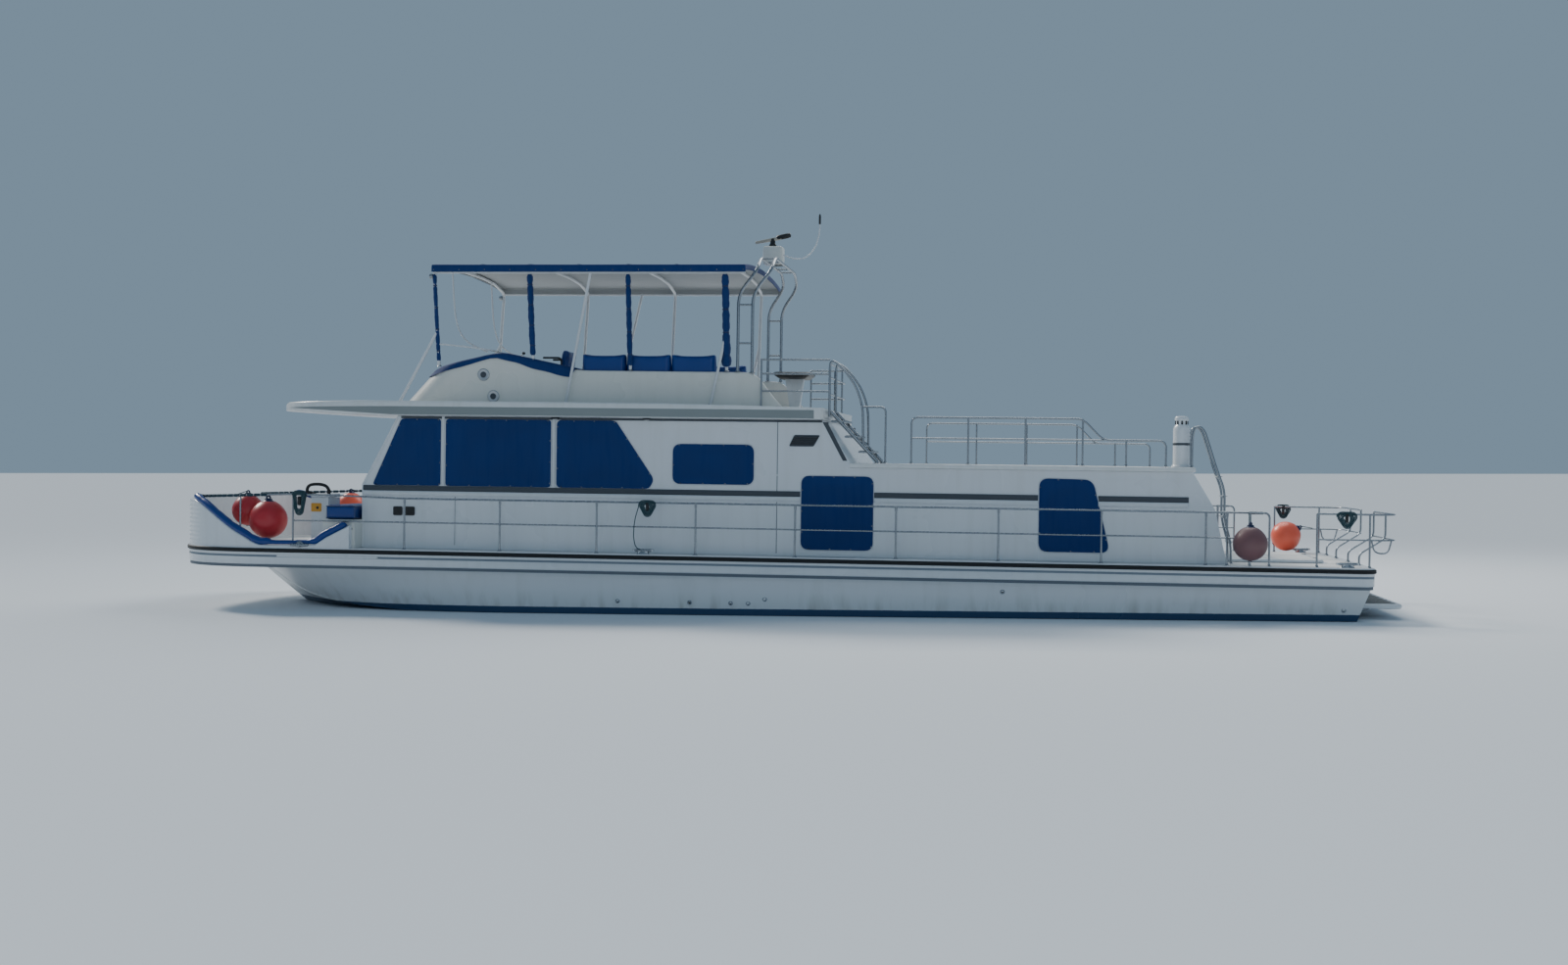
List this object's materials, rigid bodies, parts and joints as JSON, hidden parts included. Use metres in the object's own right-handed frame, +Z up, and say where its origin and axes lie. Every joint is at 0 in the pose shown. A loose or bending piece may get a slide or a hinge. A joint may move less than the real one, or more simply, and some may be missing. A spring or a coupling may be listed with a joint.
{
  "type": "cabin houseboat",
  "caption": "Cabin houseboat afloat: white hull, two-level cabin, flybridge with sun canopy, rails, sliding doors, twin propellers and rudders.",
  "frame": {"origin": "amidships on the centreline, in the plane of the water that the boat floats in", "axes": "+X towards the bow, +Y to port, +Z up; the boat floats 0.76 degrees bow-up"},
  "size_m": [15.7593, 4.656, 6.1362],
  "materials": {
    "gelcoat": "white gelcoat over moulded laminate",
    "rubber": "black rubbing strake",
    "vinyl": "marine-blue coated cloth",
    "canvas": "marine-blue woven canvas",
    "glass": "tinted safety glass",
    "stainless": "polished tube",
    "white_tube": "white painted tube",
    "bronze": "cast bronze",
    "grey_deck": "grey non-slip",
    "buoy": "orange-red soft plastic",
    "rope": "dark green braided rope",
    "engine": "grey paint",
    "black_metal": "black satin"
  },
  "bodies": {
    "boat": {"hull": "gelcoat", "deck_moulding": "gelcoat", "rub_rail": "rubber", "swim_platform": "grey_deck", "bow_bulwark": "gelcoat", "bow_bolster_port": "vinyl", "bow_bolster_starboard": "vinyl", "bow_seat_cushion": "vinyl", "foredeck_locker": "gelcoat", "forward_cabin_side_port": "gelcoat", "forward_cabin_side_starboard": "gelcoat", "aft_cabin_side_port": "gelcoat", "aft_cabin_side_starboard": "gelcoat", "main_cabin_aft_wall": "gelcoat", "cabin_front": "gelcoat", "windshield_glass": "glass", "forward_side_glass_port": "glass", "forward_side_glass_starboard": "glass", "aft_side_glass_port": "glass", "aft_side_glass_starboard": "glass", "aft_cabin_back": "gelcoat", "main_roof": "gelcoat", "aft_cabin_roof": "gelcoat", "flybridge_cowl": "gelcoat", "helm_console": "gelcoat", "helm_seat": "vinyl", "lounge_seat_port": "vinyl", "lounge_seat_starboard": "vinyl", "flybridge_table": "gelcoat", "bimini_frame": "white_tube", "bimini_canopy": "canvas", "radar_arch": "stainless", "flybridge_rail": "stainless", "roof_stair": "stainless", "sundeck_rail_port": "stainless", "sundeck_rail_starboard": "stainless", "sundeck_vent": "gelcoat", "aft_ladder": "stainless", "side_rail_port": "stainless", "side_rail_starboard": "stainless", "stern_rail_port": "stainless", "stern_rail_starboard": "stainless", "engines": "engine", "bow_fender_near": "buoy", "bow_fender_fore": "buoy", "aft_fender_port": "buoy", "aft_fender_starboard": "buoy", "dock_line_bow": "rope", "dock_line_middle": "rope", "dock_line_stern": "rope", "dock_line_starboard": "rope"},
    "propeller_port": {"propeller_port": "bronze"},
    "propeller_starboard": {"propeller_starboard": "bronze"},
    "rudder_port": {"rudder_port": "bronze"},
    "rudder_starboard": {"rudder_starboard": "bronze"},
    "steering_wheel": {"steering_wheel": "black_metal"},
    "front_door": {"front_door": "glass"},
    "aft_door": {"aft_door": "glass"},
    "engine_hatch": {"engine_hatch": "gelcoat"},
    "foredeck_locker_lid": {"foredeck_locker_lid": "gelcoat"}
  },
  "joints": [
    {"name": "propeller_port_turn", "type": "hinge", "parent": "boat", "child": "propeller_port", "pos_m": [-6.74197, 0.62, -0.64994], "axis": [0.979, 0, 0.2038], "continuous": true},
    {"name": "propeller_starboard_turn", "type": "hinge", "parent": "boat", "child": "propeller_starboard", "pos_m": [-6.74197, -0.62, -0.64994], "axis": [0.979, 0, 0.2038], "continuous": true},
    {"name": "rudder_port_steer", "type": "hinge", "parent": "boat", "child": "rudder_port", "pos_m": [-7.12274, 0.62, -0.5], "axis": [-0.0133, 0, 0.9999], "range_deg": [-35, 35]},
    {"name": "rudder_starboard_steer", "type": "hinge", "parent": "boat", "child": "rudder_starboard", "pos_m": [-7.12274, -0.62, -0.5], "axis": [-0.0133, 0, 0.9999], "range_deg": [-35, 35]},
    {"name": "wheel_turn", "type": "hinge", "parent": "boat", "child": "steering_wheel", "pos_m": [3.20326, 0.4, 3.1686], "axis": [-0.9145, 0, 0.4046], "range_deg": [-720, 720]},
    {"name": "front_door_slide", "type": "slide", "parent": "boat", "child": "front_door", "axis": [0, -1, 0], "range_m": [0, 0.83]},
    {"name": "aft_door_slide", "type": "slide", "parent": "boat", "child": "aft_door", "axis": [0, -1, 0], "range_m": [0, 0.73]},
    {"name": "engine_hatch_hinge", "type": "hinge", "parent": "boat", "child": "engine_hatch", "pos_m": [-6.03942, 0, 0.66997], "axis": [0, 1, 0], "range_deg": [0, 85]},
    {"name": "locker_lid_hinge", "type": "hinge", "parent": "boat", "child": "foredeck_locker_lid", "pos_m": [5.57, 1.32, 1.459], "axis": [0.9999, 0, 0.0133], "range_deg": [0, 100]}
  ],
  "couplings": [
    {"joint": "rudder_starboard_steer", "follows": "rudder_port_steer", "ratio": 1},
    {"joint": "wheel_turn", "follows": "rudder_port_steer", "ratio": 20}
  ]
}
